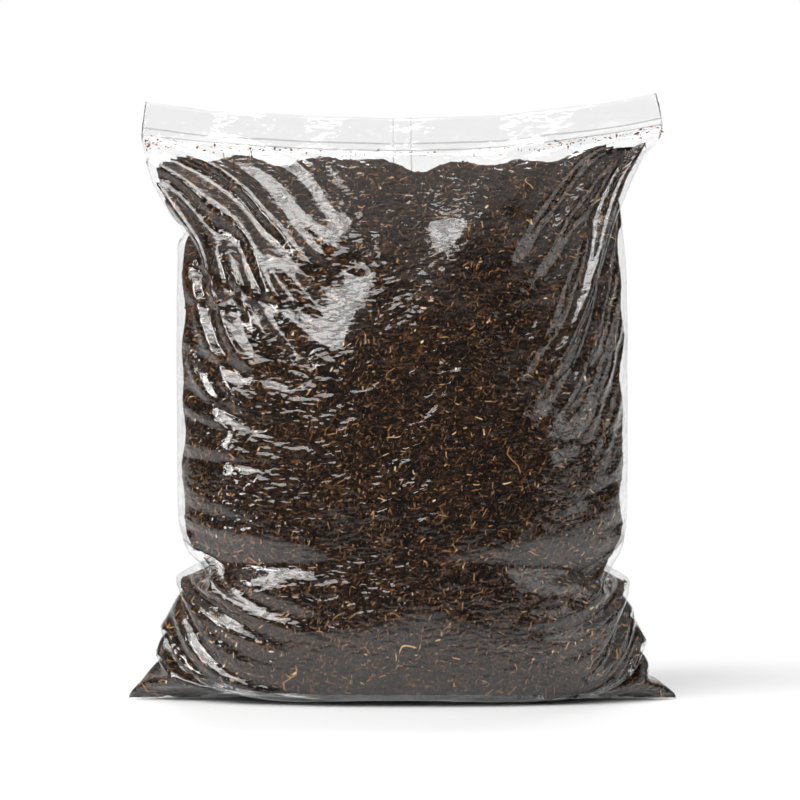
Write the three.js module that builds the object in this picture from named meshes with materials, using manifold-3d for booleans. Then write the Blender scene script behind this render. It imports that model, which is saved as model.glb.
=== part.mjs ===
// A clear film bag of compost, standing on its base.
// The film is one piece: a flat tube, lapped up the back, welded across the top in a tall header
// and across the bottom in a seam that lies under the bag, with its two ends out as flat ears.
// The compost fills the tube to just below the header.
// Millimetres, +Z up. X runs across the bag, the front faces -Y, the origin is the middle of the base.

import * as THREE from "three";
import { LoftGeometry } from "three/addons/geometries/LoftGeometry.js";
import { mergeGeometries, mergeVertices } from "three/addons/utils/BufferGeometryUtils.js";
import Module from "manifold-3d";

const wasm = await Module();
wasm.setup();

// The film.
const filmThickness = 0.15;
const tubeWidth = 350; // the empty tube, laid flat, and so the bag from ear to ear
const headerHeight = 21; // two plies welded face to face above the fill
const headerBow = 16; // how much shorter than the tube the header stands, because the full bag bows it
const headerTaper = 3; // how far each end of the header leans in on its way up
const weldRun = 0.6; // how far below its line the top weld still holds the plies together
const lapWidth = 12; // where the film's two edges overlap up the back
const lapRamp = 0.4; // how far the film takes to step up onto the lap
const ventDiameter = 6; // punched through the back, to let the compost breathe
const ventBelowSeal = 55;
const ventAside = 70; // from the lap

// The filled form, measured outside.
const bodyWidth = 283; // at the waist
const sealLevel = 350; // floor to the top weld, at its middle
const cornerRise = 12; // how far the weld's ends stand above its middle
const shoulderLevel = 92; // below this the sides spread to the foot
const neckHeight = 54; // below the top weld, where the sides spread to the header
const earReach = 11; // how far each flat ear stands out of the foot
const footDepth = 106; // the flat patch that the bag stands on, front to back
const footRadius = 48; // how high the round of the bottom edge reaches
const earLevel = 2.5; // the height of the ears' tips
const bellyLevel = 105; // where the bag is deepest

// The compost.
const fillClearance = 0.5; // to the film in front and behind
const fillSeat = 0.3; // to the film under it
const sideSlack = 4; // air that the film's side folds hold
const headSpace = 13; // empty film below the top weld
const fillCrown = 34; // how far below its crest the heap's top begins to round over
const crestShare = 0.9; // the crest's length, as a share of the bag's width there

// The outline of a level section is y = depth * (1 - |x / width| ^ squareness) ^ nose.
const squareness = 2.4;
const bodyNose = 0.5; // round sides
const sealNose = 0.95; // two plies that meet in a sharp fold
const footNose = 0.8;
const domePower = 0.62; // how fast the bag swells below the top weld
const slopeStep = 1; // over which the skin's slope is measured

// How finely the skins are drawn.
const halfColumns = 11;
const bodyRows = 26;
const crownRows = 6;
const ventSides = 16;
const mergeDistance = 1e-4;

const clamp = THREE.MathUtils.clamp;
const lerp = THREE.MathUtils.lerp;

const headerWidth = tubeWidth - headerBow;
const footWidth = tubeWidth - 2 * earReach;
const neckLevel = sealLevel - neckHeight;
const bodyDepth = depthForGirth(2 * tubeWidth);

// The film doesn't stretch, so the body is as deep as the tube's girth allows round the body's width.
function depthForGirth(girth) {
  let least = 0;
  let most = girth / 2;
  while (most - least > mergeDistance) {
    const depth = (least + most) / 2;
    const outline = section({ z: 0, halfWidth: bodyWidth / 2, halfDepth: depth / 2, nose: bodyNose });
    const length = outline.reduce((sum, point, i) => sum + point.distanceTo(outline.at(i - 1)), 0);
    if (length < girth) least = depth;
    else most = depth;
  }
  return most;
}

// How much the bag is foot, 1 at the floor and 0 from the shoulder up.
const footShare = (z) => clamp(1 - z / shoulderLevel, 0, 1);

// How much the bag is neck, 0 up to the neck's level and 1 at the top weld.
const neckShare = (z) => clamp((z - neckLevel) / (sealLevel - neckLevel), 0, 1);

function bodyHalfWidth(z) {
  const spread = (footShare(z) * (footWidth - bodyWidth)) / 2;
  return bodyWidth / 2 + spread + (neckShare(z) * (headerWidth - bodyWidth)) / 2;
}

// The ears: a flat wedge at each end of the bottom seam, from nothing at the floor out to its tip
// at the ears' level, and back to nothing as far above.
function earLength(z) {
  const reach = tubeWidth / 2 - bodyHalfWidth(earLevel);
  return reach * clamp(1 - Math.abs(z - earLevel) / earLevel, 0, 1);
}

function bodyHalfDepth(z) {
  const up = clamp((z - bellyLevel) / (sealLevel - bellyLevel), 0, 1);
  const dome = (bodyDepth / 2) * (1 - up ** 2) ** domePower;
  const under = clamp(1 - z / footRadius, 0, 1);
  return dome - ((bodyDepth - footDepth) / 2) * (1 - Math.sqrt(1 - under ** 2));
}

// How far front to back a gap reaches that is measured square to the skin.
function across(gap, z) {
  const slope = (bodyHalfDepth(z + slopeStep) - bodyHalfDepth(z - slopeStep)) / (2 * slopeStep);
  return gap * Math.hypot(1, slope);
}

function noseAt(z) {
  return bodyNose + footShare(z) * (footNose - bodyNose) + neckShare(z) * (sealNose - bodyNose);
}

// The places across half a section: the lap's edge, the foot of its ramp, then closer towards the fold.
function halfPlaces(halfWidth) {
  const lapEdge = lapWidth / 2;
  const start = lapEdge + lapRamp;
  const places = [lapEdge];
  for (let i = 0; i <= halfColumns; i++) {
    places.push(start + (halfWidth - start) * Math.sin(((Math.PI / 2) * i) / halfColumns));
  }
  return places;
}

// One closed section, counterclockwise from above: along the front, then back behind.
// rise lifts its ends, and lap is how far the film stands out over the lapped edges.
function section({ z, halfWidth, halfDepth, nose, rise = 0, lap = 0 }) {
  const right = halfPlaces(halfWidth);
  const places = [...right.map((x) => -x).reverse(), ...right];
  const point = (x, side) => {
    const share = Math.min(Math.abs(x / halfWidth), 1);
    const onLap = side > 0 && Math.abs(x) <= lapWidth / 2 ? lap : 0;
    const y = side * (halfDepth * (1 - share ** squareness) ** nose + onLap);
    return new THREE.Vector3(x, y, z + rise * share ** 2);
  };
  const front = places.map((x) => point(x, -1));
  const back = places.slice(1, -1).map((x) => point(x, 1));
  return [...front, ...back.reverse()];
}

// The levels of the sections up to the top weld, closer together at the bottom edge and the neck.
function levels() {
  const found = [0, earLevel, 2 * earLevel];
  for (let i = 1; i <= bodyRows; i++) {
    const share = (1 - Math.cos((Math.PI * i) / bodyRows)) / 2;
    found.push(lerp(2 * earLevel, sealLevel, share));
  }
  return found;
}

const riseAt = (z) => cornerRise * neckShare(z) ** 2;

// A lid over a section, as a ribbon from its front to its back, so that it follows a section that bows.
function lid(points, facesUp) {
  const half = points.length / 2;
  const front = points.slice(0, half + 1);
  const back = [points[0], ...points.slice(half).reverse()];
  return new LoftGeometry(facesUp ? [front, back] : [back, front], { closed: false });
}

function solidFromSections(sections) {
  const wall = new LoftGeometry(sections);
  return solidFromGeometry(mergeGeometries([wall, lid(sections[0], false), lid(sections.at(-1), true)]));
}

function solidFromGeometry(geometry) {
  const bare = new THREE.BufferGeometry();
  bare.setAttribute("position", geometry.getAttribute("position"));
  bare.setIndex(geometry.index);
  const merged = mergeVertices(bare, mergeDistance);
  const corners = merged.index.array;
  const triVerts = [];
  for (let i = 0; i < corners.length; i += 3) {
    const [a, b, c] = corners.slice(i, i + 3);
    if (a !== b && b !== c && c !== a) triVerts.push(a, b, c); // a lid's ends come to a point
  }
  const mesh = new wasm.Mesh({
    numProp: 3,
    vertProperties: merged.getAttribute("position").array,
    triVerts: new Uint32Array(triVerts),
  });
  return new wasm.Manifold(mesh);
}

function geometryFromSolid(solid) {
  const { numProp, vertProperties, triVerts } = solid.getMesh();
  const geometry = new THREE.BufferGeometry();
  geometry.setAttribute("position", new THREE.BufferAttribute(vertProperties, numProp));
  geometry.setIndex(new THREE.BufferAttribute(triVerts, 1));
  geometry.computeVertexNormals();
  return geometry;
}

// The outside of the film, from the floor to the header's upper edge.
function bagOutside() {
  const body = levels().map((z) =>
    section({
      z,
      halfWidth: bodyHalfWidth(z) + earLength(z),
      halfDepth: Math.max(bodyHalfDepth(z), filmThickness),
      nose: noseAt(z),
      rise: riseAt(z),
      lap: filmThickness,
    }),
  );
  const headerTop = section({
    z: sealLevel + headerHeight,
    halfWidth: headerWidth / 2 - headerTaper,
    halfDepth: filmThickness,
    nose: sealNose,
    rise: cornerRise,
    lap: filmThickness,
  });
  return solidFromSections([...body, headerTop]);
}

// The hollow of the film. It stops at the top weld and short of the ears, where the plies are welded.
function bagHollow() {
  const slit = filmThickness / 5; // what is left of the hollow where the plies meet
  const sections = levels().map((z) => {
    const level = clamp(z, filmThickness, sealLevel - weldRun);
    return section({
      z: level,
      halfWidth: bodyHalfWidth(level) - filmThickness,
      halfDepth: Math.max(bodyHalfDepth(z) - across(filmThickness, z), slit),
      nose: noseAt(z),
      rise: riseAt(level),
    });
  });
  return solidFromSections(sections);
}

// A punch that goes through the back film only.
function ventPunch() {
  const z = sealLevel - ventBelowSeal;
  const geometry = new THREE.CylinderGeometry(ventDiameter / 2, ventDiameter / 2, bodyDepth / 2, ventSides);
  geometry.translate(ventAside, bodyDepth / 4 + filmThickness, z);
  return solidFromGeometry(geometry);
}

function filmBag() {
  const solid = bagOutside().subtract(bagHollow()).subtract(ventPunch());
  const film = new THREE.MeshStandardMaterial({
    color: 0xe8eaec,
    roughness: 0.12,
    metalness: 0,
    transparent: true,
    opacity: 0.3,
  });
  const mesh = new THREE.Mesh(geometryFromSolid(solid), film);
  mesh.name = "film_bag";
  return mesh;
}

// One section of the heap, a clearance inside the film. round is 1 up to the crown, and 0 at the crest.
function fillSection(z, round) {
  const halfWidth = bodyHalfWidth(z) - filmThickness - sideSlack;
  const halfDepth = bodyHalfDepth(z) - across(filmThickness + fillClearance, z);
  return section({
    z: Math.max(z, filmThickness + fillSeat),
    halfWidth: halfWidth * lerp(crestShare, 1, round),
    halfDepth: halfDepth * round,
    nose: noseAt(z),
    rise: riseAt(z),
  });
}

// The heap follows the film and rounds off below the header.
function compostFill() {
  const crest = sealLevel - headSpace;
  const shoulder = crest - fillCrown;
  const sections = levels()
    .filter((z) => z < shoulder)
    .map((z) => fillSection(z, 1));
  for (let i = 0; i < crownRows; i++) {
    const angle = ((Math.PI / 2) * i) / crownRows;
    sections.push(fillSection(shoulder + fillCrown * Math.sin(angle), Math.cos(angle)));
  }
  const compost = new THREE.MeshStandardMaterial({ color: 0x2f241c, roughness: 0.95, metalness: 0 });
  const mesh = new THREE.Mesh(geometryFromSolid(solidFromSections(sections)), compost);
  mesh.name = "compost_fill";
  return mesh;
}

const compostBag = new THREE.Group();
compostBag.name = "compost_bag";
compostBag.add(filmBag(), compostFill());

export default compostBag;
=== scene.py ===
import math

import bmesh
import bpy
import numpy as np
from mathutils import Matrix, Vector
from mathutils.bvhtree import BVHTree


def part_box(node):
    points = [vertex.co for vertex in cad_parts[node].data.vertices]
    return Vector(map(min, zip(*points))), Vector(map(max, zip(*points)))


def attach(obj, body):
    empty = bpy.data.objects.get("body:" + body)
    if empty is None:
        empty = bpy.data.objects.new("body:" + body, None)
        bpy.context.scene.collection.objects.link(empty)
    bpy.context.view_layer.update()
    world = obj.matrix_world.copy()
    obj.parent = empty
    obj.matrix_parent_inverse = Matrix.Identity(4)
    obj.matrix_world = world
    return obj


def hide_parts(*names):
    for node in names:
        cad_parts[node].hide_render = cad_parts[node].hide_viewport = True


# A clear film bag of compost. The film starts as a flat welded tube laid round the heap and is left to
# crease, then the heap is fitted inside it and strewn with crumbs, bark and root fibres.

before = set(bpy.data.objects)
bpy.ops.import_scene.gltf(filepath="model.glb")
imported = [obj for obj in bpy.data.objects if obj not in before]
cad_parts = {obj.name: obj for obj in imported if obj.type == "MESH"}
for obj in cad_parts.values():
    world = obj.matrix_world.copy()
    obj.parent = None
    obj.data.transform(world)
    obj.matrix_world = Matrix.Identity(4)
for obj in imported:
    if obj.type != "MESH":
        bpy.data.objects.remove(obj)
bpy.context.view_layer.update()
filmLow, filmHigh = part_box("film_bag")
scene = bpy.context.scene
scene.view_settings.view_transform = "Standard"
mm = 0.001
plainWhite = (1, 1, 1, 1)
eased = {"interpolation_type": "SMOOTHSTEP"}
print("frame:", sorted(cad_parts))


def hexColour(code):
    parts = [int(code[i:i + 2], 16) / 255 for i in (1, 3, 5)]
    return [c / 12.92 if c <= 0.04045 else ((c + 0.055) / 1.055) ** 2.4 for c in parts] + [1.0]


# adds a node; a setting is an input's name or number, or else a property of the node
def addNode(tree, kind, settings={}, links={}):
    node = tree.nodes.new(kind)
    for name, value in settings.items():
        if isinstance(name, int) or name in node.inputs:
            node.inputs[name].default_value = value
        else:
            setattr(node, name, value)
    for name, socket in links.items():
        tree.links.new(socket, node.inputs[name])
    return node


def newMaterial(name):
    material = bpy.data.materials.new(name)
    material.use_nodes = True
    material.node_tree.nodes.clear()
    return material, material.node_tree


def setRamp(node, stops):
    ramp = node.color_ramp
    while len(ramp.elements) < len(stops):
        ramp.elements.new(0.5)
    for element, (place, code) in zip(ramp.elements, stops):
        element.position = place
        element.color = hexColour(code)


def smooth(t):
    t = np.clip(t, 0, 1)
    return t * t * (3 - 2 * t)


# from 0 to 1 over a span that is given by its start and its length
def ease(value, span):
    return smooth((value - span[0]) / span[1])


# Camera, light and floor

studio = {
    "cameraDistance": 2.0,
    "cameraHeight": 0.18,
    "lens": 141.0,          # 0.636 mm a pixel at the bag
    "aim": (-0.0013, 0.0, 0.1908),
    "floorColour": "#f2f2f2",
    "floorSize": 12.0,
    "paperWhite": (0.26, 0.62),   # how far off the paper turns white
    "dimFloor": (-0.1, -0.6),     # where its near end gets dim, as the film shows it
    "backdrop": (0.25, 0.85),     # how far round the white backdrop reaches, and how white the film shows it
    "backdropLevel": 0.8,
    "scrim": (0.4, 1.0),    # the pale scrim overhead, by how steeply it is seen
    "scrimLevel": 0.55,
    "roomLevel": 0.04,      # the dim side of the studio, behind the camera
    "skyLevel": 0.30,       # even light from all round
}
softboxes = {
    "key": {"place": (-0.74, -0.98, 1.33), "target": (-0.05, 0, 0.26), "size": (1.2, 1.0), "power": 26},
    "side": {"place": (-1.35, -0.75, 0.70), "target": (-0.1, 0, 0.16), "size": (0.2, 0.8), "power": 7},
    "fill": {"place": (1.35, -0.8, 0.75), "target": (0.05, 0, 0.18), "size": (0.8, 1.1), "power": 4},
    "back": {"place": (0.15, 0.9, 1.5), "target": (0, 0, 0.1), "size": (1.0, 0.6), "power": 16},
}


def aimAt(thing, target):
    thing.rotation_euler = (Vector(target) - thing.location).to_track_quat("-Z", "Y").to_euler()


def makeCamera():
    data = bpy.data.cameras.new("camera")
    data.lens = studio["lens"]
    camera = bpy.data.objects.new("camera", data)
    scene.collection.objects.link(camera)
    camera.location = (studio["aim"][0], -studio["cameraDistance"], studio["cameraHeight"])
    aimAt(camera, studio["aim"])
    scene.camera = camera


def makeSoftbox(name, place, target, size, power):
    light = bpy.data.lights.new(name, "AREA")
    light.shape = "RECTANGLE"
    light.size, light.size_y = size
    light.energy = power
    lamp = bpy.data.objects.new(name, light)
    scene.collection.objects.link(lamp)
    lamp.location = place
    aimAt(lamp, target)


def makeFloor():
    half = studio["floorSize"] / 2
    mesh = bpy.data.meshes.new("floor")
    corners = [(-half, -half, 0), (half, -half, 0), (half, half, 0), (-half, half, 0)]
    mesh.from_pydata(corners, [], [(0, 1, 2, 3)])
    floor = bpy.data.objects.new("floor", mesh)
    scene.collection.objects.link(floor)
    # seamless paper: matt white that takes the bag's shadow, burnt out to white further off; its near end
    # lies in the dim part of the studio, which only shows in the film
    material, tree = newMaterial("seamlessPaper")
    coords = addNode(tree, "ShaderNodeTexCoord")
    away = addNode(tree, "ShaderNodeVectorMath", {"operation": "LENGTH"}, {0: coords.outputs["Object"]})
    whiteFrom, whiteTo = studio["paperWhite"]
    far = addNode(tree, "ShaderNodeMapRange", {**eased, "From Min": whiteFrom, "From Max": whiteTo},
                  {"Value": away.outputs["Value"]})
    rays = addNode(tree, "ShaderNodeLightPath")
    seen = addNode(tree, "ShaderNodeMath", {"operation": "MAXIMUM"},
                   {0: rays.outputs["Is Camera Ray"], 1: rays.outputs["Is Glossy Ray"]})
    seenThrough = addNode(tree, "ShaderNodeMath", {"operation": "MAXIMUM"},
                          {0: seen.outputs[0], 1: rays.outputs["Is Transmission Ray"]})
    share = addNode(tree, "ShaderNodeMath", {"operation": "MULTIPLY"},
                    {0: far.outputs["Result"], 1: seenThrough.outputs[0]})
    paper = addNode(tree, "ShaderNodeBsdfDiffuse", {"Color": hexColour(studio["floorColour"])})
    white = addNode(tree, "ShaderNodeEmission", {"Color": plainWhite, "Strength": 1.0})
    sweep = addNode(tree, "ShaderNodeMixShader", {},
                    {0: share.outputs[0], 1: paper.outputs[0], 2: white.outputs[0]})
    axes = addNode(tree, "ShaderNodeSeparateXYZ", {}, {0: coords.outputs["Object"]})
    dimFrom, dimTo = studio["dimFloor"]
    inFront = addNode(tree, "ShaderNodeMapRange", {**eased, "From Min": dimFrom, "From Max": dimTo},
                      {"Value": axes.outputs["Y"]})
    mirrored = addNode(tree, "ShaderNodeMath", {"operation": "MULTIPLY"},
                       {0: inFront.outputs["Result"], 1: rays.outputs["Is Glossy Ray"]})
    dim = addNode(tree, "ShaderNodeEmission", {"Color": plainWhite, "Strength": studio["roomLevel"]})
    mixed = addNode(tree, "ShaderNodeMixShader", {},
                    {0: mirrored.outputs[0], 1: sweep.outputs[0], 2: dim.outputs[0]})
    addNode(tree, "ShaderNodeOutputMaterial", {}, {"Surface": mixed.outputs[0]})
    mesh.materials.append(material)


def makeWorld():
    world = bpy.data.worlds.new("studio")
    scene.world = world
    world.use_nodes = True
    tree = world.node_tree
    tree.nodes.clear()
    coords = addNode(tree, "ShaderNodeTexCoord")
    axes = addNode(tree, "ShaderNodeSeparateXYZ", {}, {0: coords.outputs["Generated"]})
    # the white backdrop stands behind the bag; overhead is a large pale scrim; the room in front is dim
    low, high = studio["backdrop"]
    behind = addNode(tree, "ShaderNodeMapRange",
                     {**eased, "From Min": low, "From Max": high, "To Max": studio["backdropLevel"]},
                     {"Value": axes.outputs["Y"]})
    low, high = studio["scrim"]
    overhead = addNode(tree, "ShaderNodeMapRange",
                       {**eased, "From Min": low, "From Max": high, "To Max": studio["scrimLevel"]},
                       {"Value": axes.outputs["Z"]})
    bright = addNode(tree, "ShaderNodeMath", {"operation": "MAXIMUM"},
                     {0: behind.outputs["Result"], 1: overhead.outputs["Result"]})
    rays = addNode(tree, "ShaderNodeLightPath")
    mirrored = addNode(tree, "ShaderNodeMath", {"operation": "MAXIMUM"},
                       {0: rays.outputs["Is Glossy Ray"], 1: rays.outputs["Is Transmission Ray"]})
    inMirror = addNode(tree, "ShaderNodeMath", {"operation": "MULTIPLY"},
                       {0: mirrored.outputs[0], 1: bright.outputs[0]})
    share = addNode(tree, "ShaderNodeMath", {"operation": "MAXIMUM"},
                    {0: rays.outputs["Is Camera Ray"], 1: inMirror.outputs[0]})
    dimLevel = addNode(tree, "ShaderNodeMapRange",
                       {"To Min": studio["skyLevel"], "To Max": studio["roomLevel"]},
                       {"Value": mirrored.outputs[0]})
    dim = addNode(tree, "ShaderNodeBackground", {"Color": plainWhite},
                  {"Strength": dimLevel.outputs["Result"]})
    white = addNode(tree, "ShaderNodeBackground", {"Color": plainWhite, "Strength": 1.0})
    mixed = addNode(tree, "ShaderNodeMixShader", {},
                    {0: share.outputs[0], 1: dim.outputs[0], 2: white.outputs[0]})
    addNode(tree, "ShaderNodeOutputWorld", {}, {"Surface": mixed.outputs[0]})


makeCamera()
makeFloor()
makeWorld()
for name, settings in softboxes.items():
    makeSoftbox(name + "Softbox", **settings)
print("studio: camera, floor, world and", len(softboxes), "softboxes")


# The film: the flat tube, the heap that it is laid round, and how it settles

heapForm = {
    "waistWidth": 287.0,
    "depth": (filmHigh.y - filmLow.y) / mm,
    "sealLevel": 350.0,      # floor to the middle of the top weld
    "leftRise": 10.0,        # how far the weld's ends stand above its middle
    "rightRise": 17.0,
    "shoulderLevel": 92.0,
    "neckLevel": 296.0,
    "footWidth": 320.0,
    "footDepth": 106.0,
    "footRadius": 48.0,
    "footSpread": 0.7,
    "bellyLevel": 100.0,
    "weldWidth": 333.0,
    "squareness": 2.4,
    "noses": (0.8, 0.5, 0.95),   # foot, body, weld: 0.5 is round, 1 a sharp fold
    "domePower": 0.62,
    "lumpSize": (35.0, 110.0),
    "lumpHeight": 1.2,
    "lumpCount": 26,
    "notchLevels": ((90.0, 294.0), (88.0, 303.0)),   # left and right, where the sides fold in
    "notchDepths": (26.0, 14.0),   # the lower and the upper one
    "notchHeight": 7.5,
    "valleyShare": 0.45,     # a valley this share as deep runs from each notch onto the front and back
    "valleyReach": 0.3,      # where it ends, as a share of the half width
    "archRise": 3.5,         # the base lifts in the middle
    "archLength": 240.0,
    "archLevel": 70.0,
}

film = {
    "tubeWidth": (filmHigh.x - filmLow.x) / mm,   # flat
    "topWidth": 341.0,       # drawn in a little by the weld
    "headerTaper": 8.0,      # and more along the header's upper edge
    "seamToWeld": 432.0,     # flat
    "headerHeight": 21.0,
    "thickness": 0.15,
    "plyGap": 0.45,          # two plies face to face, outside to outside
    "points": ((82, 132), (164, 264)),   # up to the weld and around, coarse then fine
    "steps": (200, 110),
    "solves": 10,
    "bend": (0.055, 0.03),   # stiffness of the film
    "press": (0.04, 0.02),   # compost pushing out
    "hold": (0.10, 0.05),    # pull to the heap
    "grip": (0.10, 0.10),    # friction on the compost
    "damping": 0.85,
    "weldHold": 0.3,         # pull to the weld's place, with little of it front to back
    "weldGive": (1, 0.02, 1),
    "reach": 2.0,
    "earRun": 100.0,         # film up the fold from an ear's tip to the notch above it
    "notchRuns": (54.0, 24.0),   # film that the lower and the upper notch take in
    "neckRun": 68.0,         # from the upper notch to the weld
    "spareReach": (3.0, 4.5),   # left and right: the higher, the closer to the fold the spare film stays
    "earShare": 0.06,        # how far up an ear lies flat, as a share of the way to the weld
    "freeShare": 0.10,       # and how far up it hangs nearly free of the heap
    "freedom": 0.9,
    "cornerShare": 0.75,     # from here up the rows rise to the header's corners
    "drawnShare": 0.6,       # and from here the weld draws the film in
    "unevenStart": (0.3, 0.1),
    "rippleSpacing": (15.0, 30.0),   # small creases up the sides, between the notches
    "rippleTilt": (-0.22, 0.12),     # the middle and the spread
    "rippleStart": 14.0,             # in from the fold
    "rippleOverlap": 5.0,            # the first one lies this far inside the lower notch
    "rippleWidth": (3.0, 5.0),
    "rippleLength": (70.0, 125.0),
    "rippleDepths": ((1.4, 3.0), (0.5, 1.3)),   # from the left fold and from the right
    "seed": 7,
}
creases = {
    "start": 7.0,            # in from the fold
    "tiltSpread": 5.0,
    "width": (4.5, 7.0),
    "fadeIn": 12.0,
    "fadeOut": 0.6,          # as a share of the length
    "seamStart": 8.0,        # up from the bottom seam and down from the weld
    # fans of dents: their number, the first one's tilt and the step to the next, in degrees
    "notch": {"count": 2, "tilt": -14, "step": 28, "length": (60, 110), "depth": (3.0, 5.0)},
    "ear": {"count": 3, "tilt": 30, "step": 17, "length": (90, 160), "depth": (1.5, 3.0)},
    "corner": {"count": 2, "tilt": -50, "step": 24, "length": (70, 120), "depth": (2.0, 3.5)},
}


def footShare(z):
    return np.clip(1 - z / heapForm["shoulderLevel"], 0, 1)


def neckShare(z):
    return np.clip((z - heapForm["neckLevel"]) / (heapForm["sealLevel"] - heapForm["neckLevel"]), 0, 1)


def halfWidth(z):
    foot = footShare(z) ** heapForm["footSpread"] * (heapForm["footWidth"] - heapForm["waistWidth"])
    neck = neckShare(z) * (heapForm["weldWidth"] - heapForm["waistWidth"])
    return (heapForm["waistWidth"] + foot + neck) / 2


# how far the notches fold the sides in
def notchIn(z, x):
    def depthAt(levels):
        return sum(depth * np.exp(-((z - level) / heapForm["notchHeight"]) ** 2)
                   for level, depth in zip(levels, heapForm["notchDepths"]))
    left, right = heapForm["notchLevels"]
    return np.where(x < 0, depthAt(left), depthAt(right))


def notchedWidth(z, x):
    return halfWidth(z) - notchIn(z, x)


def notchedDepth(z, x):
    start = heapForm["valleyReach"]
    out = smooth((np.abs(x) / halfWidth(z) - start) / (1 - start))
    return halfDepth(z) - heapForm["valleyShare"] * out * notchIn(z, x)


# where the notches begin and end, in film up the fold
def notchStops():
    lower, upper = film["notchRuns"]
    top = film["seamToWeld"] - film["neckRun"]
    return film["earRun"], film["earRun"] + lower, top - upper, top


# the height that film at the fold reaches, by its share of the way from the seam to the weld
def foldHeight(share, levels):
    low, high = levels
    half = heapForm["notchHeight"]
    runs = (0, *notchStops(), film["seamToWeld"])
    heights = (0, low - half, low + half, high - half, high + half, heapForm["sealLevel"])
    return np.interp(share * film["seamToWeld"], runs, heights)


def halfDepth(z):
    up = np.clip((z - heapForm["bellyLevel"]) / (heapForm["sealLevel"] - heapForm["bellyLevel"]), 0, 1)
    under = np.clip(1 - z / heapForm["footRadius"], 0, 1)
    dome = heapForm["depth"] / 2 * (1 - up ** 2) ** heapForm["domePower"]
    return dome - (heapForm["depth"] - heapForm["footDepth"]) / 2 * (1 - np.sqrt(1 - under ** 2))


def noseAt(z):
    foot, body, weld = heapForm["noses"]
    return body + footShare(z) * (foot - body) + neckShare(z) * (weld - body)


# a sum of waves that makes the heap uneven
def makeLumps(rng, sizes, count):
    turns = rng.normal(size=(count, 3))
    turns /= np.linalg.norm(turns, axis=1, keepdims=True)
    turns *= 2 * math.pi / rng.uniform(*sizes, (count, 1))
    starts = rng.uniform(0, 2 * math.pi, count)

    def lumpAt(points):
        return np.sin(points @ turns.T + starts).sum(-1) / math.sqrt(count / 2)
    return lumpAt


# where the flat tube's points lie when it is wrapped evenly round the heap: rows go up, and columns go
# around from the left fold
def wrapTube(nUp, nAround, rows, rowStep):
    half = nAround // 2
    column = np.arange(nAround)
    across = np.where(column <= half, 2 * column / half - 1, 1 - 2 * (column - half) / half)
    side = np.where(column <= half, -1.0, 1.0)
    # the middle column's path, from the seam along the floor and up to the weld
    floorRun = np.linspace(0, halfDepth(0.0), 40)
    rise = np.linspace(0, 1, 400) ** 1.5 * heapForm["sealLevel"]
    pathY = np.concatenate([floorRun, halfDepth(rise)])
    pathZ = np.concatenate([np.zeros_like(floorRun), rise])
    travelled = np.concatenate([[0], np.cumsum(np.hypot(np.diff(pathY), np.diff(pathZ)))])
    share = np.clip(np.arange(rows) / nUp, 0, 1)
    midY = np.interp(share * travelled[-1], travelled, pathY)
    midZ = np.interp(share * travelled[-1], travelled, pathZ)
    depthShare = np.where(share < 1, np.minimum(midY / np.maximum(halfDepth(midZ), 1e-6), 1), 0)[:, None]
    # the places across the waist, evenly by length round it
    bow = np.sin(np.linspace(-1, 1, 2001) * math.pi / 2)
    waistX = heapForm["waistWidth"] / 2 * bow
    waistY = heapForm["depth"] / 2 * np.sqrt(np.maximum(1 - np.abs(bow) ** heapForm["squareness"], 0))
    girth = np.concatenate([[0], np.cumsum(np.hypot(np.diff(waistX), np.diff(waistY)))])
    onWaist = np.interp((across + 1) / 2 * girth[-1], girth, bow)
    # towards the folds the rows climb evenly, so the spare film there has to crease
    edge = np.abs(across) ** np.where(across < 0, *film["spareReach"])
    leftZ, rightZ = (foldHeight(share, levels)[:, None] for levels in heapForm["notchLevels"])
    z = (1 - edge) * midZ[:, None] + edge * np.where(across < 0, leftZ, rightZ)
    cornerRise = np.where(across < 0, heapForm["leftRise"], heapForm["rightRise"])
    cornerFrom = film["cornerShare"]
    z += cornerRise * smooth((share[:, None] - cornerFrom) / (1 - cornerFrom)) * across ** 2
    level = np.clip(z, 0, heapForm["sealLevel"])
    full = np.clip(2 * halfDepth(level) * depthShare / heapForm["depth"], 0, 1)
    place = full * onWaist + (1 - full) * across
    x = notchedWidth(level, across) * place
    bulge = np.maximum(1 - np.abs(place) ** heapForm["squareness"], 0) ** noseAt(level)
    y = side * notchedDepth(level, x) * depthShare * bulge
    ear = np.clip(1 - np.arange(rows) / (nUp * film["earShare"]), 0, 1)[:, None]
    x = (1 - ear) * x + ear * across * film["tubeWidth"] / 2
    points = np.stack([x, y, z], -1)
    points[..., 2] += np.maximum(np.arange(rows) - nUp, 0)[:, None] * rowStep
    return points


# a dent along a line on the flat film, that fades in and out
def dent(flatX, flatY, start, angle, length, width, depth):
    along = (flatX - start[0]) * math.cos(angle) + (flatY - start[1]) * math.sin(angle)
    off = (flatY - start[1]) * math.cos(angle) - (flatX - start[0]) * math.sin(angle)
    fade = smooth(along / creases["fadeIn"]) * smooth((length - along) / (creases["fadeOut"] * length))
    return -depth * fade * np.exp(-(off / width) ** 2)


# each fold from the front, then from the back: its place on the flat film and which way is inward
def foldSides():
    return [(fold * film["tubeWidth"], inward) for fold, inward in ((0, 1), (1, -1), (1, 1), (2, -1))]


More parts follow.
